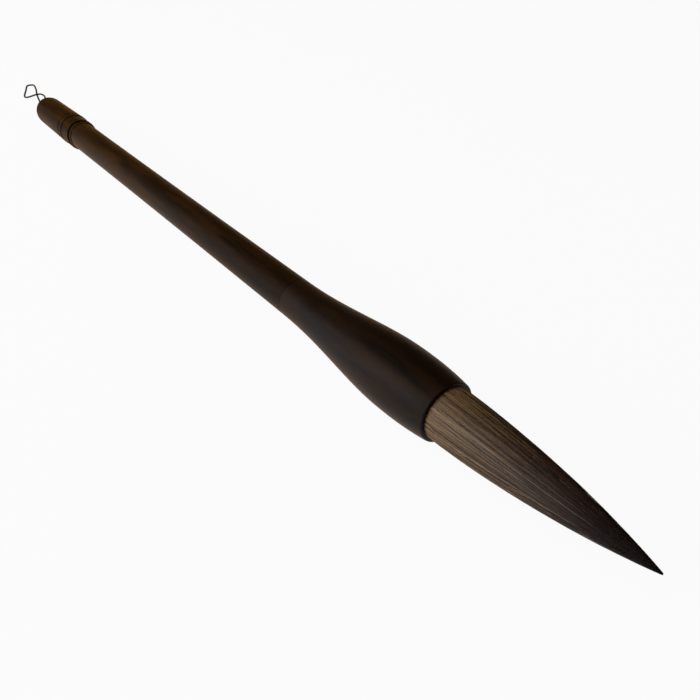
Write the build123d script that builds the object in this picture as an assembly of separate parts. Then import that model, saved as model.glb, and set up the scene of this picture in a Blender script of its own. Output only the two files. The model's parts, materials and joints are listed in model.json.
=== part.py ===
"""A large-character calligraphy brush that lies on a table, in millimetres.

Every turned piece is first made about the brush's own axis, +X, where x = 0 is the mouth of the bell: the
hair points to +X and the handle runs to -X. Then the whole brush is laid down. It rests on the belly of
its bell and on the ring in front of its cap, so its axis leans a little. The origin is on the table below
the middle of the brush, and +Z is up. The hanging cord is made where it lies, behind the cap.
"""

from build123d import *

import os
from math import atan, cos, degrees, radians, sin, tan

# Shaft
SHAFT_LENGTH = 151.5
SHAFT_FRONT_DIAMETER = 10.2
SHAFT_WAIST_DIAMETER = 10.0
SHAFT_REAR_DIAMETER = 10.3
TENON_DIAMETER = 6.0
FRONT_TENON_LENGTH = 14.0

# Bell: the flared head that holds the hair
BELL_LENGTH = 54.0
BELL_DIAMETER = 15.6
BELLY_SETBACK = 14.5  # from the mouth back to the widest point
FLARE_REAR_PULL = 16.5  # how far the flare's curve is drawn out from its slim end
FLARE_FRONT_PULL = 11.2  # and from the belly
LIP_DIAMETER = 13.7
LIP_PULL = 8.2  # how far the belly's curve is drawn out towards the lip
LIP_ROUNDING = 0.4
SOCKET_DEPTH = 15.0

# Hair
HAIR_DIAMETER = 11.8
HAIR_LENGTH = 47.5
HAIR_TAPER = 1.3  # degrees, of the tuft's side where it leaves the bell
HAIR_BELLY_PULL = 20.7  # how far the side's curve is drawn out from there
HAIR_POINT_ANGLE = 13.7  # degrees, of the side at the point
HAIR_POINT_PULL = 10.8  # how far the curve is drawn out from the point
HAIR_POINT_DIAMETER = 0.3
CORE_DIAMETER = 6.0
COVER_LENGTH = 29.0  # the cover hairs end this far from the mouth
HAIR_ROOT_LENGTH = 13.0
BINDING_CORD = 0.5
BINDING_TURNS = 6
RESIN_THICKNESS = 1.2

# Bend of the hair
BEND_CENTRE = 6.0  # from the mouth
BEND_BALL_INSET = 0.3  # the ball's radius is this much less than the hair's
BEND_LIMIT = 35.0
BEND_MARGIN = 4.0  # degrees left free past the limit

# Rings, collar and cap, all threaded or plugged on the shaft's rear tenon
FRONT_RING_DIAMETER = 10.8
FRONT_RING_LENGTH = 2.5
COLLAR_DIAMETER = 11.6
COLLAR_LENGTH = 7.4
REAR_RING_DIAMETER = 12.0
REAR_RING_LENGTH = 3.3
CAP_FRONT_DIAMETER = 11.9
CAP_REAR_DIAMETER = 11.4
CAP_BARREL_LENGTH = 28.3
MORTISE_DEPTH = 13.0
RING_ROUNDING = 0.7
COLLAR_ROUNDING = 0.35

# Hanging cord
CORD_DIAMETER = 0.8
KNOT_DIAMETER = 3.6
KNOT_LENGTH = 4.4
KNOT_CHAMBER_LENGTH = 6.5
SWING_STANDOFF = 1.2  # the loop swings about a point this far outside the cap

# Fits
GLUE_GAP = 0.05  # on the radius, round each glued tenon
END_GAP = 0.5  # past the end of each tenon
HAIR_GAP = 0.1  # on the radius, round the hair and round its core
BEND_GAP = 0.3
SWING_GAP = 0.2
STRAND_GAP = 0.1  # between the two strands, one above the other, where they leave the cap
CORD_GAP = 0.35  # on the radius, round the strands in their hole
KNOT_GAP = 0.3  # on the radius, round the knot

# Stations along the axis
BELL_REAR = -BELL_LENGTH
FRONT_TENON_END = BELL_REAR + FRONT_TENON_LENGTH
SHAFT_REAR = BELL_REAR - SHAFT_LENGTH
COLLAR_FRONT = SHAFT_REAR - FRONT_RING_LENGTH
REAR_RING_FRONT = COLLAR_FRONT - COLLAR_LENGTH
CAP_FRONT = REAR_RING_FRONT - REAR_RING_LENGTH
MORTISE_END = CAP_FRONT - MORTISE_DEPTH
CHAMBER_END = MORTISE_END - KNOT_CHAMBER_LENGTH
REAR_TENON_END = MORTISE_END + END_GAP
DOME_RADIUS = CAP_REAR_DIAMETER / 2
DOME_CENTRE = CAP_FRONT - CAP_BARREL_LENGTH
CAP_APEX = DOME_CENTRE - DOME_RADIUS
SWING_CENTRE = CAP_APEX - SWING_STANDOFF
STRAND_SPACING = CORD_DIAMETER + STRAND_GAP
SWING_BALL_RADIUS = (STRAND_SPACING + CORD_DIAMETER) / 2
ROOT_END = -HAIR_ROOT_LENGTH
WAIST_END = ROOT_END + BINDING_TURNS * BINDING_CORD

# How the brush lies: its lean, and how far it is moved after that
REST_STATION = CAP_FRONT + RING_ROUNDING
LEAN = atan((BELL_DIAMETER - REAR_RING_DIAMETER) / 2 / (-BELLY_SETBACK - REST_STATION))
FRONT_REACH = HAIR_LENGTH * cos(LEAN)
REAR_REACH = DOME_CENTRE * cos(LEAN) - DOME_RADIUS
MIDDLE = (FRONT_REACH + REAR_REACH) / 2
RISE = BELL_DIAMETER / 2 * cos(LEAN) + BELLY_SETBACK * sin(LEAN)

# The cord's route, out of the cap and back into it: x and y from the cap's apex, z from the table
EXIT_X = CAP_APEX * cos(LEAN) - MIDDLE
EXIT_HEIGHT = RISE + CAP_APEX * sin(LEAN)
START = -(SWING_STANDOFF + SWING_BALL_RADIUS + SWING_GAP)
CORD_ROUTE = [
    (START, 0, EXIT_HEIGHT - STRAND_SPACING / 2),
    (-7.5, 0.8, 4.0),
    (-15.0, 2.0, 1.9),
    (-23.0, 3.6, 0.7),
    (-32.4, 5.1, 0.45),
    (-43.0, 7.1, 0.45),
    (-51.5, 9.3, 0.45),
    (-57.7, 10.6, 0.45),
    (-61.2, 11.0, 0.45),
    (-62.6, 9.8, 0.45),
    (-62.2, 8.0, 0.45),
    (-58.9, 6.7, 0.45),
    (-53.4, 4.9, 0.45),
    (-47.7, 2.7, 0.45),
    (-43.3, 1.4, 0.55),
    (-40.2, 1.2, 0.8),
    (-38.6, 2.7, 1.3),
    (-38.2, 5.2, 1.9),
    (-38.5, 7.6, 1.9),
    (-36.5, 8.8, 1.5),
    (-32.6, 8.1, 0.8),
    (-26.0, 7.0, 0.6),
    (-17.5, 5.0, 1.7),
    (-9.5, 2.6, 4.2),
    (START, 0, EXIT_HEIGHT + STRAND_SPACING / 2),
]


def turned(edges):
    """A solid turned about the axis from a closed chain of edges."""
    return revolve(make_face(Wire(edges)), axis=Axis.X)


def chain(*points):
    """Straight edges from point to point."""
    return [Line(a, b) for a, b in zip(points, points[1:])]


def bar(rear, front, diameter):
    """A round bar along the axis."""
    radius = diameter / 2
    return turned(chain((rear, 0), (rear, radius), (front, radius), (front, 0), (rear, 0)))


def ring(rear, front, diameter, rounding):
    """A ring that slides on the rear tenon, with rounded outer edges."""
    inner = TENON_DIAMETER / 2 + GLUE_GAP
    outer = diameter / 2
    corners = (rear, inner), (rear, outer), (front, outer), (front, inner), (rear, inner)
    blank = turned(chain(*corners))
    rims = blank.edges().filter_by(GeomType.CIRCLE).group_by(SortBy.RADIUS)[-1]
    return fillet(rims, rounding)


def make_bell():
    """Flared head: a blind socket for the hair in front and a mortise for the shaft behind."""
    joint = SHAFT_FRONT_DIAMETER / 2
    belly = BELL_DIAMETER / 2
    lip = LIP_DIAMETER / 2
    front = lip - LIP_ROUNDING
    flare = Bezier(
        (BELL_REAR, joint),
        (BELL_REAR + FLARE_REAR_PULL, joint),
        (-BELLY_SETBACK - FLARE_FRONT_PULL, belly),
        (-BELLY_SETBACK, belly),
    )
    nose = Bezier((-BELLY_SETBACK, belly), (-BELLY_SETBACK + LIP_PULL, belly), (-LIP_ROUNDING, lip))
    rounding = RadiusArc((-LIP_ROUNDING, lip), (0, front), LIP_ROUNDING)
    blank = turned([flare, nose, rounding, *chain((0, front), (0, 0), (BELL_REAR, 0), (BELL_REAR, joint))])
    socket = bar(-SOCKET_DEPTH, 1, HAIR_DIAMETER + 2 * HAIR_GAP)
    mortise = bar(BELL_REAR - 1, FRONT_TENON_END + END_GAP, TENON_DIAMETER + 2 * GLUE_GAP)
    return blank - socket - mortise


def make_shaft():
    """Slim rod, a little thinner at its middle, with a tenon at each end."""
    tenon = TENON_DIAMETER / 2
    rear = (SHAFT_REAR, SHAFT_REAR_DIAMETER / 2)
    front = (BELL_REAR, SHAFT_FRONT_DIAMETER / 2)
    waist = ((SHAFT_REAR + BELL_REAR) / 2, SHAFT_WAIST_DIAMETER / 2)
    ends = chain(front, (BELL_REAR, tenon), (FRONT_TENON_END, tenon), (FRONT_TENON_END, 0))
    ends += chain((FRONT_TENON_END, 0), (REAR_TENON_END, 0), (REAR_TENON_END, tenon))
    ends += chain((REAR_TENON_END, tenon), (SHAFT_REAR, tenon), rear)
    return turned([ThreePointArc(rear, waist, front), *ends])


def make_cap():
    """Domed end cap: a mortise for the tenon, a chamber for the knot and a hole for the cord."""
    front = CAP_FRONT_DIAMETER / 2
    dome = RadiusArc((CAP_APEX, 0), (DOME_CENTRE, DOME_RADIUS), DOME_RADIUS)
    sides = chain((DOME_CENTRE, DOME_RADIUS), (CAP_FRONT, front), (CAP_FRONT, 0), (CAP_APEX, 0))
    blank = turned([dome, *sides])
    rim = blank.edges().filter_by(GeomType.CIRCLE).group_by(SortBy.RADIUS)[-1]
    blank = fillet(rim, RING_ROUNDING)
    mortise = bar(MORTISE_END, CAP_FRONT + 1, TENON_DIAMETER + 2 * GLUE_GAP)
    chamber = bar(CHAMBER_END, MORTISE_END, KNOT_DIAMETER + 2 * KNOT_GAP)
    cord_hole = bar(CAP_APEX - 1, CHAMBER_END, 2 * (SWING_BALL_RADIUS + CORD_GAP))
    return blank - mortise - chamber - cord_hole


def tuft_face():
    """Half the lengthwise section of the whole tuft, from its root to its point."""
    root = HAIR_DIAMETER / 2
    point = HAIR_POINT_DIAMETER / 2
    side = Bezier(
        (0, root),
        (HAIR_BELLY_PULL, root - HAIR_BELLY_PULL * tan(radians(HAIR_TAPER))),
        (HAIR_LENGTH - HAIR_POINT_PULL, point + HAIR_POINT_PULL * tan(radians(HAIR_POINT_ANGLE))),
        (HAIR_LENGTH, point),
    )
    waist = root - BINDING_CORD
    rest = chain(
        (HAIR_LENGTH, point),
        (HAIR_LENGTH, 0),
        (ROOT_END, 0),
        (ROOT_END, waist),
        (WAIST_END, waist),
        (WAIST_END, root),
        (0, root),
    )
    return make_face(Wire([side, *rest]))


def band(rear, front, inner, outer):
    """A rectangle of the lengthwise section, between two stations and two radii."""
    middle = Pos((rear + front) / 2, (inner + outer) / 2)
    return middle * Rectangle(front - rear, outer - inner)


def make_hair():
    """Core and cover hair, each cut at the bend into a half that stays and a half that moves.

    The half that stays ends in a ball about the bend's centre. The half that moves starts clear of that
    ball and inside a cone, so that the two don't meet anywhere up to the limit of the bend.
    """
    far = 2 * HAIR_LENGTH
    ball = HAIR_DIAMETER / 2 - BEND_BALL_INSET
    stays = band(-far, BEND_CENTRE, 0, far) + Pos(BEND_CENTRE) * Circle(ball)
    opening = radians(90 - BEND_LIMIT - BEND_MARGIN)
    rim = (BEND_CENTRE + far * cos(opening), far * sin(opening))
    cone = make_face(Wire(chain((BEND_CENTRE, 0), rim, (rim[0], 0), (BEND_CENTRE, 0))))
    moves = cone - Pos(BEND_CENTRE) * Circle(ball + BEND_GAP)
    core = band(-far, far, 0, CORE_DIAMETER / 2)
    cover = band(-far, COVER_LENGTH, CORE_DIAMETER / 2 + HAIR_GAP, far)
    sections = {
        "core_hair_root": tuft_face() & core & stays,
        "cover_hair_root": tuft_face() & cover & stays,
        "core_hair_tip": tuft_face() & core & moves,
        "cover_hair_tip": tuft_face() & cover & moves,
    }
    return {name: revolve(section, axis=Axis.X) for name, section in sections.items()}


def make_root_fixings():
    """What holds the hair in its socket: turns of thread, a disc of melted resin and the glue."""
    thread = BINDING_CORD / 2
    track = HAIR_DIAMETER / 2 - thread
    turns = [
        Pos(ROOT_END + (turn + 0.5) * BINDING_CORD, track) * Circle(thread)
        for turn in range(BINDING_TURNS)
    ]
    core = band(ROOT_END + thread, WAIST_END - thread, track - thread / 2, track + thread / 2)
    resin_rear = ROOT_END - RESIN_THICKNESS
    return {
        "root_binding": revolve(core + turns, axis=Axis.X),
        "root_resin": bar(resin_rear, ROOT_END, HAIR_DIAMETER),
        "socket_glue": bar(-SOCKET_DEPTH, resin_rear, HAIR_DIAMETER + HAIR_GAP),
    }


def make_cord_fixings():
    """The knot in the cap and the two strands beside each other in the hole, out to the swing's centre."""
    half = KNOT_LENGTH / 2
    knot_centre = CHAMBER_END + half
    knot = Pos(knot_centre) * scale(Sphere(KNOT_DIAMETER / 2), by=(KNOT_LENGTH / KNOT_DIAMETER, 1, 1))
    strands = bar(SWING_CENTRE, CHAMBER_END + half / 3, 2 * SWING_BALL_RADIUS)
    neck = strands + Pos(SWING_CENTRE) * Sphere(SWING_BALL_RADIUS)
    return {"cord_knot": knot, "cord_neck": neck - knot}


def corner_radii(points):
    """The largest tangent arc for each corner of a route: 0.45 of its shorter run, over tan(half turn)."""
    radii = []
    for before, corner, after in zip(points, points[1:], points[2:]):
        run_in = corner - before
        run_out = after - corner
        turn = run_in.get_angle(run_out)
        radii.append(0.45 * min(run_in.length, run_out.length) / tan(radians(turn / 2)))
    return radii


def make_hanging_cord():
    """The loop of cord behind the cap: a tube along straight runs joined by tangent arcs."""
    points = [Vector(EXIT_X + x, y, z) for x, y, z in CORD_ROUTE]
    radii = corner_radii(points)
    print("cord bend radii", [round(radius, 1) for radius in radii])
    path = FilletPolyline(*points, radius=radii)
    print("cord length", round(path.length, 1))
    start = Plane(origin=path @ 0, z_dir=path % 0)
    return sweep(start * Circle(CORD_DIAMETER / 2), path=path)


def lay_down(piece):
    """Leans a piece from the brush's own axis onto the table, with the origin below the middle."""
    return Pos(-MIDDLE, 0, RISE) * Rot(0, -degrees(LEAN), 0) * piece


def main():
    """Makes every piece, lays the brush down and writes one STEP file for each node."""
    pieces = {
        "shaft": make_shaft(),
        "bell": make_bell(),
        "cap": make_cap(),
        "front_ring": ring(COLLAR_FRONT, SHAFT_REAR, FRONT_RING_DIAMETER, RING_ROUNDING),
        "collar": ring(REAR_RING_FRONT, COLLAR_FRONT, COLLAR_DIAMETER, COLLAR_ROUNDING),
        "rear_ring": ring(CAP_FRONT, REAR_RING_FRONT, REAR_RING_DIAMETER, RING_ROUNDING),
        **make_hair(),
        **make_root_fixings(),
        **make_cord_fixings(),
    }
    placed = {name: lay_down(piece) for name, piece in pieces.items()}
    placed["hanging_cord"] = make_hanging_cord()
    os.makedirs("parts", exist_ok=True)
    for name, piece in placed.items():
        export_step(piece, f"parts/{name}.step")


if __name__ == "__main__":
    main()
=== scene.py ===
"""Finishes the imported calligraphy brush: its wood, hair and hanging cord, and the table it lies on.

Everything is in metres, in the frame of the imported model. The brush's own axis is the line through the
two joints, the one the hair bends about and the one the cord's loop swings about.
"""

import json

import bpy
import numpy as np
from mathutils import Matrix, Vector


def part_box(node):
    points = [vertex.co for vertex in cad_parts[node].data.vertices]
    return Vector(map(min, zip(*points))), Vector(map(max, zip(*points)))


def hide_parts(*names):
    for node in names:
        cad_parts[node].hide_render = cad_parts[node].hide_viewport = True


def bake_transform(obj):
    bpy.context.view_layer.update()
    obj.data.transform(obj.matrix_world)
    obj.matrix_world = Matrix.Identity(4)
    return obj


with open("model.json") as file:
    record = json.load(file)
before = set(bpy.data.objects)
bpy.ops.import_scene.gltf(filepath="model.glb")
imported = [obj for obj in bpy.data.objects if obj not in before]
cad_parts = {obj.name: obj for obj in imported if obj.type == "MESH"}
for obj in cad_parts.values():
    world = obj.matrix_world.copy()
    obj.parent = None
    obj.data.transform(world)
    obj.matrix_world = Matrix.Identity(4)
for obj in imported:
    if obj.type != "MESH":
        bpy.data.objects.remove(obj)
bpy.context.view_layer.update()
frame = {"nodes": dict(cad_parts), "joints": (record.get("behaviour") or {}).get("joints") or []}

bl_info = {
    "name": "Calligraphy brush",
    "version": (1, 0, 0),
    "blender": (4, 5, 0),
    "location": "3D View > Sidebar > Brush",
    "description": "Finishes a turned wooden brush, its combed hair and its cord",
    "category": "Object",
}

MM = 0.001


def joint_place(name):
    """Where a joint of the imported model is, as an array."""
    found = [joint for joint in frame["joints"] if joint["name"] == name]
    return np.array(found[0]["pos_m"], float)


def span(node):
    """The lowest and highest X of a node."""
    low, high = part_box(node)
    return low[0], high[0]


# The brush's axis
BEND = joint_place("tuft_bend")
SWING = joint_place("loop_swing")
AXIS = (BEND - SWING) / np.linalg.norm(BEND - SWING)
ACROSS = np.array([0.0, 1.0, 0.0])
UPWARD = np.cross(AXIS, ACROSS)
MOUTH_X = span("bell")[1]
MOUTH = BEND - AXIS * (BEND[0] - MOUTH_X) / AXIS[0]
TIP_X = span("core_hair_tip")[1]
HAIR_LENGTH = (TIP_X - MOUTH_X) / AXIS[0]
HAIR_RADIUS = (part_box("cover_hair_root")[1][1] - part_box("cover_hair_root")[0][1]) / 2

# The side of the tuft is one curve from the mouth to the point, drawn out from each end by these lengths
BELLY_PULL = 20.7 * MM
BELLY_DROP = 0.47 * MM
POINT_PULL = 10.8 * MM
POINT_RISE = 2.63 * MM
POINT_RADIUS = 0.12 * MM
CLUMP_WAVES = 34
CLUMP_SEED = 5
CLUMP_RISE = 0.045 * MM
HIDDEN_ROOT = 3.0 * MM

# Where along the brush, from the mouth, the wood is darkest and where it is brownest
WOOD_DARKEST = -25.0 * MM
WOOD_BROWNEST = -190.0 * MM

# Half the width of the painted shade at the mouth, at the bell's joint and at the ends of each ring, and its
# colour: near black standing in for the shade in the grooves between parts
JOINT_SHADE_HALF_WIDTH = 0.22 * MM
PAINTED_SHADE_COLOUR = (0.0012, 0.0009, 0.0008)
RING_SHADE_HALF_WIDTH = {"front_ring": 0.35 * MM, "collar": 0.2 * MM, "rear_ring": 0.4 * MM, "cap": 0.12 * MM}

# How glossy each surface is, as the shader's specular level
BELL_GLOSS = 0.15
SHAFT_GLOSS = 0.09
CAP_GLOSS = 0.05
HAIR_GLOSS = 0.50
PACKED_HAIR_GLOSS = 0.30

# The stage
TABLE_HALF = 3.0
TABLE_DROP = 0.02 * MM  # below the brush, so that the two never share a plane
TABLE_SEEN_WHITE = 0.94  # how much of the table is seen as plain white; the rest keeps the shadow
ROOM_LIGHT = 0.05
CAMERA_LEFT = 19.06 * MM  # from the mouth of the bell to the middle of the view
CAMERA_UP = 12.43 * MM

# The cord's route out of the cap and back: x and y from the cap's end, z from the table
CAP_END_X = span("cap")[0]
CAP_END_Z = SWING[2]
STRAND_RADIUS = 0.4 * MM
STRAND_RISE = 0.45 * MM
CORD_ROUTE = [
    (-7.5, 0.8, 4.0),
    (-15.0, 2.0, 1.9),
    (-23.0, 3.6, 0.7),
    (-32.4, 5.1, 0.45),
    (-43.0, 7.1, 0.45),
    (-51.5, 9.3, 0.45),
    (-57.7, 10.6, 0.45),
    (-61.2, 11.0, 0.45),
    (-62.6, 9.8, 0.45),
    (-62.2, 8.0, 0.45),
    (-58.9, 6.7, 0.45),
    (-53.4, 4.9, 0.45),
    (-47.7, 2.7, 0.45),
    (-43.3, 1.4, 0.55),
    (-40.2, 1.2, 0.8),
    (-38.6, 2.7, 1.3),
    (-38.2, 5.2, 1.9),
    (-38.5, 7.6, 1.9),
    (-36.5, 8.8, 1.5),
    (-32.6, 8.1, 0.8),
    (-26.0, 7.0, 0.6),
    (-17.5, 5.0, 1.7),
    (-9.5, 2.6, 4.2),
]


# Shader expressions


class Link:
    """A socket of a material's nodes that does arithmetic: each operator adds its Math node."""

    def __init__(self, tree, socket=None):
        self.tree = tree
        self.socket = socket

    def node(self, kind, settings=None, inputs=None, output=0):
        """Adds a node, sets its settings, fills or links its sockets and returns one output."""
        added = self.tree.nodes.new(kind)
        for name, value in (settings or {}).items():
            if name == "stops":
                self.set_stops(added.color_ramp, value)
            else:
                setattr(added, name, value)
        for name, value in (inputs or {}).items():
            if isinstance(value, Link):
                self.tree.links.new(value.socket, added.inputs[name])
            else:
                added.inputs[name].default_value = value
        return Link(self.tree, added.outputs[output] if added.outputs else None)

    @staticmethod
    def set_stops(ramp, stops):
        """Gives a colour ramp its stops, each a position and a colour."""
        while len(ramp.elements) < len(stops):
            ramp.elements.new(1.0)
        for element, (position, colour) in zip(ramp.elements, stops):
            element.position = position
            element.color = (*colour, 1.0)

    def math(self, operation, *values):
        return self.node("ShaderNodeMath", {"operation": operation}, dict(enumerate(values)))

    def __add__(self, other):
        return self.math("ADD", self, other)

    def __sub__(self, other):
        return self.math("SUBTRACT", self, other)

    def __rsub__(self, other):
        return self.math("SUBTRACT", other, self)

    def __mul__(self, other):
        return self.math("MULTIPLY", self, other)

    def smooth(self, low, high, start=0.0, end=1.0):
        """Runs smoothly from start to end while this value runs from low to high."""
        inputs = {"Value": self, "From Min": low, "From Max": high, "To Min": start, "To Max": end}
        return self.node("ShaderNodeMapRange", {"interpolation_type": "SMOOTHSTEP"}, inputs)

    def mix(self, first, second):
        """The first colour where this value is 0 and the second where it is 1."""
        colours = {0: self, 6: opaque(first), 7: opaque(second)}
        return self.node("ShaderNodeMix", {"data_type": "RGBA"}, colours, 2)

    def times(self, colour):
        """A colour made brighter or darker by this value."""
        return self.node("ShaderNodeVectorMath", {"operation": "SCALE"}, {0: colour, "Scale": self})

    def noise(self, place, stretch, detail=2.0, roughness=0.5):
        """Noise whose grains are 1 / stretch metres long along each axis."""
        scaled = self.node("ShaderNodeVectorMath", {"operation": "MULTIPLY"}, {0: place, 1: stretch})
        inputs = {"Vector": scaled, "Scale": 1.0, "Detail": detail, "Roughness": roughness}
        return self.node("ShaderNodeTexNoise", {}, inputs)

    def bump(self, height, distance, strength=1.0):
        inputs = {"Height": height, "Distance": distance, "Strength": strength}
        return self.node("ShaderNodeBump", {}, inputs)


def opaque(colour):
    """A plain colour with its alpha, or a linked colour as it is."""
    return colour if isinstance(colour, Link) else (*colour[:3], 1.0)


def new_material(name):
    """An empty material and the start of its nodes."""
    material = bpy.data.materials.new(name)
    material.use_nodes = True
    material.node_tree.nodes.clear()
    return material, Link(material.node_tree)


def close_material(start, inputs):
    """Ends a material in one Principled shader."""
    shader = start.node("ShaderNodeBsdfPrincipled", {}, inputs)
    start.node("ShaderNodeOutputMaterial", {}, {"Surface": shader})


def distance_along(start):
    """Object coordinates, and the distance along the brush from the mouth, towards the hair's point."""
    place = start.node("ShaderNodeTexCoord", {}, {}, 3)
    inputs = {0: place, 1: tuple(AXIS)}
    along = start.node("ShaderNodeVectorMath", {"operation": "DOT_PRODUCT"}, inputs, 1)
    return place, along - float(MOUTH @ AXIS)


# Materials


def lacquered_wood(name, wood, gloss, painted_shade_ends):
    """Dark close-grained wood under rubbed lacquer, browner the further it is from the hair.

    The grain is noise drawn out along the brush, in two sizes: broad bands of colour and fine pores.
    The ends it is given are distances along the brush, each with a half width, where the colour is painted
    near black: painted shade in the groove at a joint and at the mouth.
    """
    material, start = new_material(name)
    place, along = distance_along(start)
    bands = start.noise(place, (45.0, 420.0, 420.0), 3.0)
    pores = start.noise(place, (220.0, 5200.0, 5200.0), 2.0, 0.6)
    cloud = start.noise(place, (60.0, 60.0, 60.0), 2.0)
    tone = bands.smooth(0.36, 0.68) * 0.65 + pores.smooth(0.45, 0.75) * 0.35
    rearward = along.smooth(WOOD_DARKEST, WOOD_BROWNEST)
    brown = rearward.mix(wood.brown, wood.rear_brown)
    colour = tone.mix((rearward * 0.4).mix(wood.dark, wood.brown), brown)
    colour = (cloud.smooth(0.5, 0.75) * 0.35).mix(colour, wood.wear)
    # Painted shade: the colour goes near black around each of these ends, standing in for the shade in the
    # groove between parts and at the mouth
    for station, half_width in painted_shade_ends:
        offset = along - station
        away = offset.math("ABSOLUTE", offset)
        colour = away.smooth(half_width * 0.5, half_width).mix(PAINTED_SHADE_COLOUR, colour)
    rough = bands * 0.10 + cloud * 0.12 + 0.44
    relief = start.bump(pores * 0.6 + bands * 0.4, 0.00006, 0.35)
    inputs = {
        "Base Color": colour,
        "Roughness": rough,
        "Normal": relief,
        "Specular IOR Level": gloss,
        "Sheen Weight": 0.30,
        "Sheen Roughness": 0.30,
        "Sheen Tint": (0.92, 0.40, 0.05, 1.0),
    }
    close_material(start, inputs)
    return material


def combed_hair(name, hair, gloss):
    """Natural hair, light at its root and near black at its point.

    Each hair carries two numbers: along, its place from the mouth (0) to the point (1), and tone, its own
    lightness from 0 to 1, which also moves its darkening up or down its length.
    """
    material, start = new_material(name)
    along = start.node("ShaderNodeAttribute", {"attribute_name": "along"}, {}, 2)
    tone = start.node("ShaderNodeAttribute", {"attribute_name": "tone"}, {}, 2)
    place = start.node("ShaderNodeTexCoord", {}, {}, 3)
    mottle = start.noise(place, (160.0, 900.0, 900.0), 2.0)
    shifted = along + (0.5 - tone) * 0.22 + (mottle - 0.5) * 0.10
    stops = [
        (0.0, hair.root),
        (0.20, tuple(0.62 * part for part in hair.root)),
        (0.45, hair.middle),
        (0.72, hair.point),
        (1.0, tuple(0.6 * part for part in hair.point)),
    ]
    base = start.node("ShaderNodeValToRGB", {"stops": stops}, {0: shifted})
    light = tone.smooth(0.0, 1.0, 0.28, 2.1)
    pale = (tone.smooth(0.93, 0.97) * 0.75).mix(light.times(base), (0.46, 0.36, 0.24))
    inputs = {
        "Base Color": pale,
        "Roughness": 0.42,
        "Specular IOR Level": gloss,
        "Sheen Weight": 0.0,
    }
    close_material(start, inputs)
    return material


def twisted_cord(name, colour, pale):
    """Twisted cord: fine fibres along each ply, from the ply's own two numbers, around and along."""
    material, start = new_material(name)
    ply = start.node("ShaderNodeUVMap", {"uv_map": "ply"})
    inputs = {0: ply, 1: (60.0, 9.0, 1.0)}
    stretched = start.node("ShaderNodeVectorMath", {"operation": "MULTIPLY"}, inputs)
    fibres = start.node("ShaderNodeTexNoise", {}, {"Vector": stretched, "Scale": 1.0, "Detail": 3.0})
    inputs = {
        "Base Color": fibres.smooth(0.35, 0.7).mix(colour, pale),
        "Roughness": 0.78,
        "Normal": start.bump(fibres, 0.00005, 0.6),
        "Specular IOR Level": 0.25,
    }
    close_material(start, inputs)
    return material


def plain_grainy(name, colour, other, grain, rough):
    """A cast or set material: two close colours in cloudy patches and a slight unevenness."""
    material, start = new_material(name)
    place = start.node("ShaderNodeTexCoord", {}, {}, 3)
    cloud = start.noise(place, (grain, grain, grain), 3.0)
    inputs = {
        "Base Color": cloud.smooth(0.35, 0.65).mix(colour, other),
        "Roughness": cloud * 0.2 + rough,
        "Normal": start.bump(cloud, 0.0001, 0.4),
    }
    close_material(start, inputs)
    return material


def table_top(name, colour):
    """A plain white table that keeps a soft shadow and is white to the camera, gloss and glass."""
    material, start = new_material(name)
    paths = start.node("ShaderNodeLightPath", {}, {}, 0)
    glossy = Link(start.tree, paths.socket.node.outputs["Is Glossy Ray"])
    through = Link(start.tree, paths.socket.node.outputs["Is Transmission Ray"])
    seen = paths.math("MAXIMUM", paths, glossy.math("MAXIMUM", glossy, through))
    matt = start.node("ShaderNodeBsdfDiffuse", {}, {"Color": opaque(colour)})
    white = start.node("ShaderNodeEmission", {}, {"Color": (1.0, 1.0, 1.0, 1.0), "Strength": 1.0})
    surface = start.node("ShaderNodeMixShader", {}, {0: seen * TABLE_SEEN_WHITE, 1: matt, 2: white})
    start.node("ShaderNodeOutputMaterial", {}, {"Surface": surface})
    return material


# Meshes


def put_mesh(name, points, faces, material):
    """A new object from arrays of points and of faces, each face a row of point numbers."""
    mesh = bpy.data.meshes.new(name)
    faces = [np.asarray(group) for group in faces]
    loops = np.concatenate([group.ravel() for group in faces])
    sizes = np.concatenate([np.full(len(group), group.shape[1]) for group in faces])
    starts = np.concatenate([[0], np.cumsum(sizes)[:-1]])
    mesh.vertices.add(len(points))
    mesh.vertices.foreach_set("co", np.asarray(points, np.float32).ravel())
    mesh.loops.add(len(loops))
    mesh.loops.foreach_set("vertex_index", loops.astype(np.int32))
    mesh.polygons.add(len(sizes))
    mesh.polygons.foreach_set("loop_start", starts.astype(np.int32))
    mesh.polygons.foreach_set("use_smooth", np.ones(len(sizes), bool))
    mesh.update(calc_edges=True)
    mesh.validate()
    mesh.materials.append(material)
    piece = bpy.data.objects.new(name, mesh)
    bpy.context.scene.collection.objects.link(piece)
    return piece


def give_number(piece, name, values):
    """Stores one number for each point of a mesh."""
    attribute = piece.data.attributes.new(name, "FLOAT", "POINT")
    attribute.data.foreach_set("value", np.asarray(values, np.float32).ravel())


def tuft_radius(distance):
    """The tuft's radius at a distance from the mouth: a cubic curve between the mouth and the point.

    Its x and radius are (1-t)^3 a + 3(1-t)^2 t b + 3(1-t) t^2 c + t^3 d, read back by x. Behind the mouth
    the radius stays that of the mouth.
    """
    t = np.linspace(0.0, 1.0, 400)
    weights = np.stack([(1 - t) ** 3, 3 * (1 - t) ** 2 * t, 3 * (1 - t) * t**2, t**3])
    x = np.array([0.0, BELLY_PULL, HAIR_LENGTH - POINT_PULL, HAIR_LENGTH]) @ weights
    ends = [HAIR_RADIUS, HAIR_RADIUS - BELLY_DROP, POINT_RADIUS + POINT_RISE, POINT_RADIUS]
    return np.interp(distance, x, np.array(ends) @ weights)


def tuft_centre(distance):
    """The tuft's middle line: the brush's axis, bent aside by the share of the length to the power 1.2."""
    share = np.clip(distance / HAIR_LENGTH, 0.0, 1.0) ** 1.2
    sideways = bpy.context.scene.brush_hair.lean_at_point
    lean = (0.76 * ACROSS + 0.65 * UPWARD) * sideways
    return MOUTH + distance[..., None] * AXIS + share[..., None] * lean


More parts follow.
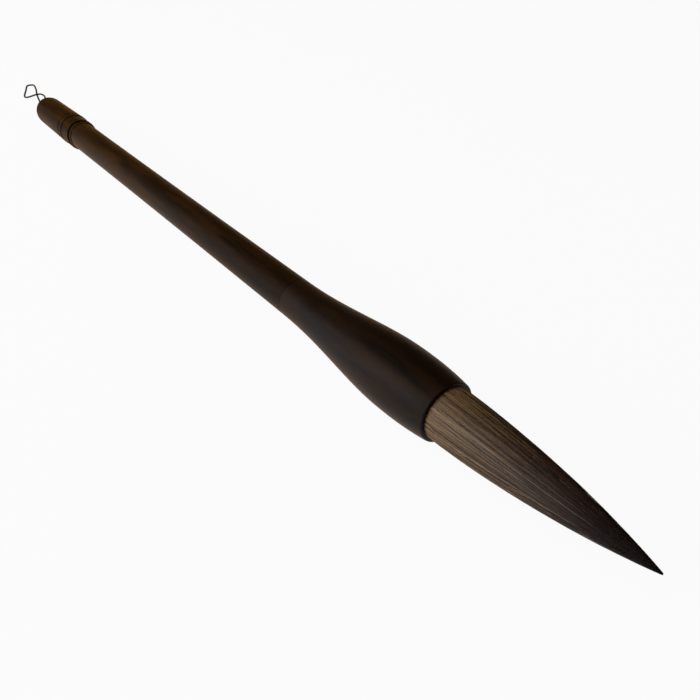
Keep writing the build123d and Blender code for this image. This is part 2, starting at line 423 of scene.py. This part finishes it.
def round_about(distance, angle, radius):
    """Points at an angle and radius round the tuft's middle line."""
    outward = np.cos(angle)[..., None] * ACROSS + np.sin(angle)[..., None] * UPWARD
    return tuft_centre(distance) + radius[..., None] * outward


def grid_faces(rows, columns):
    """Quads of a grid of points, row after row, whose columns close on themselves."""
    row, column = np.meshgrid(np.arange(rows - 1), np.arange(columns), indexing="ij")
    after = (column + 1) % columns
    corners = [row * columns + column, row * columns + after]
    corners += [(row + 1) * columns + after, (row + 1) * columns + column]
    return np.stack(corners, axis=-1).reshape(-1, 4)


def smooth_noise(rng, shape, periods):
    """Waves of random height and phase over a circle: the sum of cosines of whole numbers of turns."""
    angle = np.linspace(0.0, 2 * np.pi, shape, endpoint=False)
    phases = rng.uniform(0.0, 2 * np.pi, len(periods))
    heights = rng.uniform(0.4, 1.0, len(periods))
    waves = heights[:, None] * np.cos(np.outer(periods, angle) + phases[:, None])
    return waves.sum(axis=0) / heights.sum()


def make_clumps(seed):
    """How hairs clump: a function of angle and distance from about -1 to 1.

    It is a sum of waves cos(k a + m x + p): k whole turns round the tuft, m a slow drift along it, p a
    random phase.
    """
    rng = np.random.default_rng(seed)
    turns = rng.integers(30, 260, CLUMP_WAVES)
    drift = rng.normal(0.0, 170.0, CLUMP_WAVES)
    phase = rng.uniform(0.0, 2 * np.pi, CLUMP_WAVES)
    height = rng.uniform(0.5, 1.0, CLUMP_WAVES) / np.sqrt(CLUMP_WAVES / 3)

    def clump(angle, distance):
        total = np.zeros(np.broadcast(angle, distance).shape)
        for k, m, p, h in zip(turns, drift, phase, height):
            total += h * np.cos(k * angle + m * distance + p)
        return np.clip(total, -1.3, 1.3)

    return clump


def make_hair_body(material, seed):
    """The solid of packed hair under the loose surface hairs.

    Its radius is the tuft's, less a little, less a furrow that depends on the angle: a sum of waves round
    the tuft, which wander slightly along it. It is closed at the root and at the point.
    """
    rng = np.random.default_rng(seed)
    rows, columns = 90, 900
    share = np.linspace(0.0, 1.0, rows)
    distance = -HIDDEN_ROOT + share * (HAIR_LENGTH * 0.995 + HIDDEN_ROOT)
    angle = np.linspace(0.0, 2 * np.pi, columns, endpoint=False)
    fine = smooth_noise(rng, columns, rng.integers(150, 420, 24))
    broad = smooth_noise(rng, columns, rng.integers(9, 40, 10))
    wander = np.sin(share * 5.0 + 1.0) * 0.012
    turned = angle[None, :] + wander[:, None] * np.cos(3 * angle)[None, :]
    furrows = 0.05 * fine + 0.03 * broad
    room = tuft_radius(distance)
    depth = np.minimum(0.10 * MM, room * 0.1)
    radius = room[:, None] - depth[:, None] * (1.2 - 6.0 * furrows[None, :])
    across = np.broadcast_to(distance[:, None], radius.shape)
    points = round_about(across, turned, radius).reshape(-1, 3)
    faces = [
        grid_faces(rows, columns)[:, ::-1],
        np.arange(columns)[None, :],
        (np.arange(columns)[::-1] + (rows - 1) * columns)[None, :],
    ]
    piece = put_mesh("hair_body", points, faces, material)
    give_number(piece, "along", np.broadcast_to((across / HAIR_LENGTH), radius.shape))
    clump = make_clumps(CLUMP_SEED)(angle[None, :], across)
    give_number(piece, "tone", np.clip(0.28 + 0.6 * fine[None, :] + 0.2 * clump, 0.0, 0.8))
    return piece


def make_hairs(name, material, seed, count, begin, end, thickness, lift, tones, sway):
    """Many tapered hairs that lie along the tuft.

    Hair number i runs from a distance begin to a distance end at its own angle, which sways as a slow wave.
    It lies at the tuft's radius plus its lift. Its section is a triangle whose size swells from the
    root and falls to nothing at its own point: thickness times the root of t times (1 - t^3).
    """
    rng = np.random.default_rng(seed)
    stations = 20
    t = np.linspace(0.0, 1.0, stations)[None, :]
    first = rng.uniform(*begin, count)[:, None]
    last = (end[0] + (end[1] - end[0]) * rng.beta(2.0, 1.6, count))[:, None]
    distance = first + (last - first) * t
    drift = rng.normal(0.0, sway, (count, 1)) * t
    wave = rng.normal(0.0, sway * 0.5, (count, 1)) * np.sin(rng.uniform(2, 7, (count, 1)) * t)
    angle = rng.uniform(0.0, 2 * np.pi, (count, 1)) + drift + wave
    raised = rng.uniform(*lift, (count, 1)) + np.zeros_like(t)
    room = tuft_radius(distance)
    clump = make_clumps(CLUMP_SEED)(angle, distance)
    raised = (raised + clump * CLUMP_RISE) * np.minimum(1.0, room / (1.5 * MM))
    radius = np.maximum(room + raised, room * 0.3)
    taper = np.sqrt(np.clip(t * 12, 0.05, 1.0)) * (1.02 - t**3)
    size = rng.uniform(*thickness, (count, 1)) / 2 * taper
    size = np.minimum(size, room * 0.45 + 0.01 * MM)
    centre = round_about(distance, angle, radius)
    outward = np.cos(angle)[..., None] * ACROSS + np.sin(angle)[..., None] * UPWARD
    beside = np.cross(AXIS, outward)
    corner = np.array([0.0, 2 * np.pi / 3, 4 * np.pi / 3])
    around = outward[:, :, None, :] * np.cos(corner)[:, None]
    around = around + beside[:, :, None, :] * np.sin(corner)[:, None]
    points = centre[:, :, None, :] + size[:, :, None, None] * around
    one = grid_faces(stations, 3)[:, ::-1]
    step = np.arange(count)[:, None, None] * stations * 3
    sides = (one[None] + step).reshape(-1, 4)
    root_cap = (np.array([[0, 1, 2]])[None] + step).reshape(-1, 3)
    point_cap = (np.array([[2, 1, 0]])[None] + (stations - 1) * 3 + step).reshape(-1, 3)
    piece = put_mesh(name, points.reshape(-1, 3), [sides, root_cap, point_cap], material)
    shape = (count, stations, 3)
    give_number(piece, "along", np.broadcast_to((distance / HAIR_LENGTH)[:, :, None], shape))
    tone = rng.choice(tones[0], size=count, p=tones[1]) + rng.uniform(-0.12, 0.12, count)
    pale = tone > 0.85
    tone = tone[:, None] + np.where(pale, 0.0, 0.26)[:, None] * clump
    tone = np.where(pale[:, None], tone, np.minimum(tone, 0.9))
    give_number(piece, "tone", np.broadcast_to(np.clip(tone, 0.0, 1.0)[:, :, None], shape))
    return piece


def bend_with_tuft(piece):
    """Bakes the piece's placement into its mesh; the piece is not turned or bent.
    """
    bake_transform(piece)


def cord_points():
    """The cord's smooth line: points read from the spline that its route controls."""
    inside = [(1.2, 0.0), (-2.25, 0.0)]
    low = [(x, y, (CAP_END_Z - STRAND_RISE) / MM) for x, y in inside]
    high = [(x, y, (CAP_END_Z + STRAND_RISE) / MM) for x, y in inside[::-1]]
    route = np.array([*low, *CORD_ROUTE, *high]) * MM
    route[:, 0] += CAP_END_X
    curve = bpy.data.curves.new("cord_line", "CURVE")
    curve.dimensions = "3D"
    curve.resolution_u = 24
    spline = curve.splines.new("NURBS")
    spline.points.add(len(route) - 1)
    weighted = np.concatenate([route, np.ones((len(route), 1))], axis=1)
    spline.points.foreach_set("co", weighted.ravel())
    spline.order_u = 3
    spline.use_endpoint_u = True
    holder = bpy.data.objects.new("cord_line", curve)
    line = bpy.data.meshes.new_from_object(holder)
    points = np.empty(len(line.vertices) * 3)
    line.vertices.foreach_get("co", points)
    bpy.data.objects.remove(holder)
    bpy.data.meshes.remove(line)
    return points.reshape(-1, 3)


def evenly(points, gap):
    """Points a fixed gap apart along a line, by its length."""
    steps = np.linalg.norm(np.diff(points, axis=0), axis=1)
    length = np.concatenate([[0.0], np.cumsum(steps)])
    wanted = np.linspace(0.0, length[-1], int(length[-1] / gap) + 1)
    return np.stack([np.interp(wanted, length, points[:, i]) for i in range(3)], axis=1), wanted


def make_cord(material, twist, gap=0.22 * MM, sides=8):
    """Three plies wound round the cord's line.

    Ply k's middle is the line plus r (cos a, sin a) in the plane across it, where a is the length run over
    the twist plus a third of a turn for each ply. Each ply is a tube round its own middle.
    """
    line, run = evenly(cord_points(), gap)
    ahead = np.gradient(line, axis=0)
    ahead /= np.linalg.norm(ahead, axis=1)[:, None]
    side = np.cross(ahead, [0.0, 0.0, 1.0])
    side /= np.linalg.norm(side, axis=1)[:, None]
    over = np.cross(side, ahead)
    ply_radius = STRAND_RADIUS * 0.56
    offset = STRAND_RADIUS - ply_radius
    rows = len(line)
    turn = np.linspace(0.0, 2 * np.pi, sides, endpoint=False)
    points, faces, uvs = [], [], []
    for ply in range(3):
        a = run / twist * 2 * np.pi + ply * 2 * np.pi / 3
        middle = line + offset * (np.cos(a)[:, None] * side + np.sin(a)[:, None] * over)
        spin = turn[None, :] + a[:, None]
        ring = np.cos(spin)[..., None] * side[:, None] + np.sin(spin)[..., None] * over[:, None]
        points.append((middle[:, None] + ply_radius * ring).reshape(-1, 3))
        base = ply * rows * sides
        faces.append(grid_faces(rows, sides)[:, ::-1] + base)
        faces.append(np.arange(sides)[None, :] + base)
        faces.append(np.arange(sides)[None, ::-1] + base + (rows - 1) * sides)
        around = np.broadcast_to(turn / (2 * np.pi), (rows, sides))
        length = np.broadcast_to((run / twist)[:, None], (rows, sides))
        uvs.append(np.stack([around, length], axis=-1).reshape(-1, 2))
    piece = put_mesh("hanging_cord_twisted", np.concatenate(points), faces, material)
    layer = piece.data.uv_layers.new(name="ply")
    index = np.empty(len(piece.data.loops), np.int32)
    piece.data.loops.foreach_get("vertex_index", index)
    layer.data.foreach_set("uv", np.concatenate(uvs)[index].astype(np.float32).ravel())
    return piece, line, run[-1]


def dress(node, material):
    """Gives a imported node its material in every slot."""
    piece = frame["nodes"][node]
    piece.data.materials.clear()
    piece.data.materials.append(material)


# Properties


def colour_property(name, description, default):
    return bpy.props.FloatVectorProperty(
        name=name, description=description, subtype="COLOR", size=3, min=0.0, max=1.0, default=default
    )


class WoodSettings(bpy.types.PropertyGroup):
    dark: colour_property("Dark", "The wood's dark bands", (0.0058, 0.0020, 0.0005))
    brown: colour_property("Brown", "The wood's brown bands near the hair", (0.0240, 0.0090, 0.0012))
    rear_brown: colour_property("Rear brown", "The brown bands near the cord", (0.052, 0.0200, 0.0016))
    wear: colour_property("Wear", "Where the lacquer is rubbed", (0.034, 0.0125, 0.0016))


class HairSettings(bpy.types.PropertyGroup):
    root: colour_property("Root", "The hair where it leaves the wood", (0.170, 0.094, 0.037))
    middle: colour_property("Middle", "The hair halfway along", (0.047, 0.0210, 0.0098))
    point: colour_property("Point", "The hair near its point", (0.0125, 0.0040, 0.0016))
    count: bpy.props.IntProperty(
        name="Hairs", description="Hairs in each bunch", default=1500, min=10, max=1600
    )
    thickness: bpy.props.FloatProperty(
        name="Thickness", description="The thickest hair", default=0.15 * MM, unit="LENGTH", min=0.0
    )
    lean_at_point: bpy.props.FloatProperty(
        name="Lean", description="How far the point leans aside", default=0.42 * MM, unit="LENGTH"
    )


class CordSettings(bpy.types.PropertyGroup):
    colour: colour_property("Colour", "The cord's shaded fibres", (0.030, 0.013, 0.006))
    pale: colour_property("Pale", "The cord's raised fibres", (0.105, 0.055, 0.026))
    twist: bpy.props.FloatProperty(
        name="Twist", description="Length of one turn of the plies", default=2.4 * MM, unit="LENGTH", min=MM
    )


class StageSettings(bpy.types.PropertyGroup):
    table: colour_property("Table", "The table's colour", (0.90, 0.90, 0.90))
    azimuth: bpy.props.FloatProperty(
        name="Azimuth", description="Where the camera stands round the brush", default=np.radians(53.52),
        subtype="ANGLE",
    )
    elevation: bpy.props.FloatProperty(
        name="Elevation", description="How far the camera looks down", default=np.radians(35.80),
        subtype="ANGLE",
    )
    distance: bpy.props.FloatProperty(
        name="Distance", description="From the camera to the mouth of the bell, straight ahead",
        default=137.0 * MM, unit="LENGTH",
    )
    key: bpy.props.FloatProperty(
        name="Key light", description="Power of the soft box", default=5.4, unit="POWER", min=0.0
    )
    fill: bpy.props.FloatProperty(
        name="Fill light", description="Power of the overhead light", default=5.0, unit="POWER", min=0.0
    )


# Operators


class BrushOperator(bpy.types.Operator):
    bl_options = {"REGISTER", "UNDO"}

    def execute(self, context):
        self.make(context.scene)
        return {"FINISHED"}


class BRUSH_OT_stage(BrushOperator):
    """Sets out the table, the lights and the camera"""

    bl_idname = "brush.stage"
    bl_label = "Stage"

    def make(self, scene):
        settings = scene.brush_stage
        corners = np.array([(-1.0, -1.0), (1.0, -1.0), (1.0, 1.0), (-1.0, 1.0)]) * TABLE_HALF
        corners = np.column_stack([corners, np.full(4, -TABLE_DROP)])
        material = table_top("white_table", settings.table)
        table = put_mesh("table", corners, [np.array([[0, 1, 2, 3]])], material)
        self.light("soft_box", (-0.34, -0.80, 0.36), (0.06, 0.0, 0.0), (0.90, 0.52), settings.key)
        fill = self.light("overhead", (-0.20, -0.75, 0.95), (0.0, 0.0, 0.0), (1.0, 1.0), settings.fill)
        fill.visible_glossy = False
        self.camera(scene, settings)
        world = bpy.data.worlds.new("room")
        world.use_nodes = True
        background = world.node_tree.nodes["Background"]
        background.inputs["Color"].default_value = (1.0, 1.0, 1.0, 1.0)
        background.inputs["Strength"].default_value = ROOM_LIGHT
        scene.world = world
        scene.view_settings.view_transform = "Standard"

    def light(self, name, place, target, size, power):
        lamp = bpy.data.lights.new(name, "AREA")
        lamp.shape = "RECTANGLE"
        lamp.size, lamp.size_y = size
        lamp.energy = power
        stand = bpy.data.objects.new(name, lamp)
        stand.location = place
        stand.rotation_euler = (Vector(target) - Vector(place)).to_track_quat("-Z", "Y").to_euler()
        bpy.context.scene.collection.objects.link(stand)
        return stand

    def camera(self, scene, settings):
        """The camera looks along ahead; the mouth of the bell is a little right of and below its middle."""
        a, e = settings.azimuth, settings.elevation
        right = np.array([np.cos(a), np.sin(a), 0.0])
        ahead = np.array([-np.sin(a) * np.cos(e), np.cos(a) * np.cos(e), -np.sin(e)])
        down = np.cross(ahead, right)
        place = MOUTH - CAMERA_LEFT * right - CAMERA_UP * down - settings.distance * ahead
        lens = bpy.data.cameras.new("camera")
        lens.lens = 36.0
        lens.sensor_width = 36.0
        lens.clip_start = 0.005
        holder = bpy.data.objects.new("camera", lens)
        turn = Matrix(np.stack([right, -down, -ahead], axis=1).tolist()).to_4x4()
        holder.matrix_world = Matrix.Translation(place.tolist()) @ turn
        scene.collection.objects.link(holder)
        scene.camera = holder


class BRUSH_OT_handle(BrushOperator):
    """Finishes the shaft and the flared bell in dark lacquered wood"""

    bl_idname = "brush.handle"
    bl_label = "Shaft and bell"

    def make(self, scene):
        wood = scene.brush_wood
        joint = (span("bell")[0] - MOUTH_X) / AXIS[0]
        # Painted shade at the mouth and at the bell's joint with the shaft
        painted_shade_ends = [(0.0, JOINT_SHADE_HALF_WIDTH), (joint, JOINT_SHADE_HALF_WIDTH)]
        dress("bell", lacquered_wood("bell_wood", wood, BELL_GLOSS, painted_shade_ends))
        dress("shaft", lacquered_wood("shaft_wood", wood, SHAFT_GLOSS, painted_shade_ends[1:]))


class BRUSH_OT_cap(BrushOperator):
    """Finishes the cap, its two rings and the collar between them"""

    bl_idname = "brush.cap"
    bl_label = "Cap and rings"

    def make(self, scene):
        wood = scene.brush_wood
        for node in ("front_ring", "collar", "rear_ring", "cap"):
            # Painted shade at both ends of each ring and of the collar, and at the cap's front end
            ends = [((x - MOUTH_X) / AXIS[0], RING_SHADE_HALF_WIDTH[node]) for x in span(node)]
            if node == "cap":
                ends = ends[1:]
            dress(node, lacquered_wood(f"{node}_wood", wood, CAP_GLOSS, ends))


class BRUSH_OT_fixings(BrushOperator):
    """Finishes what holds the hair and the cord inside the wood"""

    bl_idname = "brush.fixings"
    bl_label = "Hidden fixings"

    def make(self, scene):
        dress("root_binding", plain_grainy("waxed_thread", (0.55, 0.48, 0.36), (0.42, 0.35, 0.24), 3000, 0.6))
        dress("root_resin", plain_grainy("rosin", (0.35, 0.15, 0.03), (0.22, 0.08, 0.015), 400, 0.15))
        dress("socket_glue", plain_grainy("set_glue", (0.6, 0.52, 0.34), (0.5, 0.42, 0.26), 500, 0.3))
        cord = scene.brush_cord
        dress("cord_knot", plain_grainy("knotted_cord", cord.colour, cord.pale, 2500, 0.7))


class BRUSH_OT_hair_body(BrushOperator):
    """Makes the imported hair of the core"""

    bl_idname = "brush.hair_body"
    bl_label = "Packed hair"

    def make(self, scene):
        hair = scene.brush_hair
        material = combed_hair("packed_hair", hair, PACKED_HAIR_GLOSS)
        piece = make_hair_body(material, 3)
        bend_with_tuft(piece)
        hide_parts("core_hair_root", "core_hair_tip")


class BRUSH_OT_cover_hair(BrushOperator):
    """Makes the combed hairs that cover the tuft"""

    bl_idname = "brush.cover_hair"
    bl_label = "Cover hair"

    def make(self, scene):
        hair = scene.brush_hair
        material = combed_hair("cover_hair", hair, HAIR_GLOSS)
        tones = ([0.08, 0.36, 0.66, 0.95], [0.34, 0.36, 0.26, 0.04])
        for bunch in range(3):
            piece = make_hairs(
                f"cover_hair_{bunch + 1}",
                material,
                11 + bunch,
                hair.count,
                (-HIDDEN_ROOT, -HIDDEN_ROOT * 0.3),
                (0.50 * HAIR_LENGTH, 0.985 * HAIR_LENGTH),
                (hair.thickness * 0.55, hair.thickness),
                (-0.07 * MM, 0.03 * MM),
                tones,
                0.02,
            )
            bend_with_tuft(piece)
            if bunch == 0:
                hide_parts("cover_hair_root", "cover_hair_tip")


class BRUSH_OT_point_hair(BrushOperator):
    """Makes the dark hairs of the point and a few loose pale ones"""

    bl_idname = "brush.point_hair"
    bl_label = "Point and loose hair"

    def make(self, scene):
        hair = scene.brush_hair
        material = combed_hair("point_hair", hair, HAIR_GLOSS)
        point = make_hairs(
            "point_hair", material, 31, 900,
            (0.40 * HAIR_LENGTH, 0.70 * HAIR_LENGTH), (0.95 * HAIR_LENGTH, 1.0 * HAIR_LENGTH),
            (hair.thickness * 0.5, hair.thickness * 0.8), (-0.08 * MM, 0.0),
            ([0.2, 0.45], [0.5, 0.5]), 0.03,
        )
        loose = make_hairs(
            "loose_hair", material, 47, 26,
            (-HIDDEN_ROOT * 0.5, 0.45 * HAIR_LENGTH), (0.55 * HAIR_LENGTH, 0.93 * HAIR_LENGTH),
            (hair.thickness * 0.6, hair.thickness * 0.8), (0.0, 0.10 * MM),
            ([0.99], [1.0]), 0.10,
        )
        for piece in (point, loose):
            bend_with_tuft(piece)


class BRUSH_OT_cord(BrushOperator):
    """Makes the twisted hanging cord behind the cap"""

    bl_idname = "brush.cord"
    bl_label = "Hanging cord"

    def make(self, scene):
        settings = scene.brush_cord
        material = twisted_cord("twisted_cord", settings.colour, settings.pale)
        piece, line, length = make_cord(material, settings.twist)
        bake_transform(piece)
        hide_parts("hanging_cord", "cord_neck")


class BRUSH_PT_panel(bpy.types.Panel):
    """Lists the brush's pieces and their settings"""

    bl_idname = "BRUSH_PT_panel"
    bl_label = "Calligraphy brush"
    bl_space_type = "VIEW_3D"
    bl_region_type = "UI"
    bl_category = "Brush"

    def draw(self, context):
        for operator in OPERATORS:
            self.layout.operator(operator.bl_idname)
        for name, group in SETTINGS.items():
            box = self.layout.box()
            for setting in group.__annotations__:
                box.prop(getattr(context.scene, name), setting)


OPERATORS = (
    BRUSH_OT_stage,
    BRUSH_OT_cord,
    BRUSH_OT_handle,
    BRUSH_OT_cap,
    BRUSH_OT_fixings,
    BRUSH_OT_hair_body,
    BRUSH_OT_cover_hair,
    BRUSH_OT_point_hair,
)
SETTINGS = {
    "brush_wood": WoodSettings,
    "brush_hair": HairSettings,
    "brush_cord": CordSettings,
    "brush_stage": StageSettings,
}


def register():
    for group in (*SETTINGS.values(), *OPERATORS, BRUSH_PT_panel):
        bpy.utils.register_class(group)
    for name, group in SETTINGS.items():
        setattr(bpy.types.Scene, name, bpy.props.PointerProperty(type=group))


def unregister():
    for name in SETTINGS:
        delattr(bpy.types.Scene, name)
    for group in (BRUSH_PT_panel, *reversed(OPERATORS), *reversed(SETTINGS.values())):
        bpy.utils.unregister_class(group)


def main():
    """Makes every piece in turn."""
    register()
    for operator in OPERATORS:
        group, name = operator.bl_idname.split(".")
        getattr(getattr(bpy.ops, group), name)()


if __name__ == "__main__":
    main()
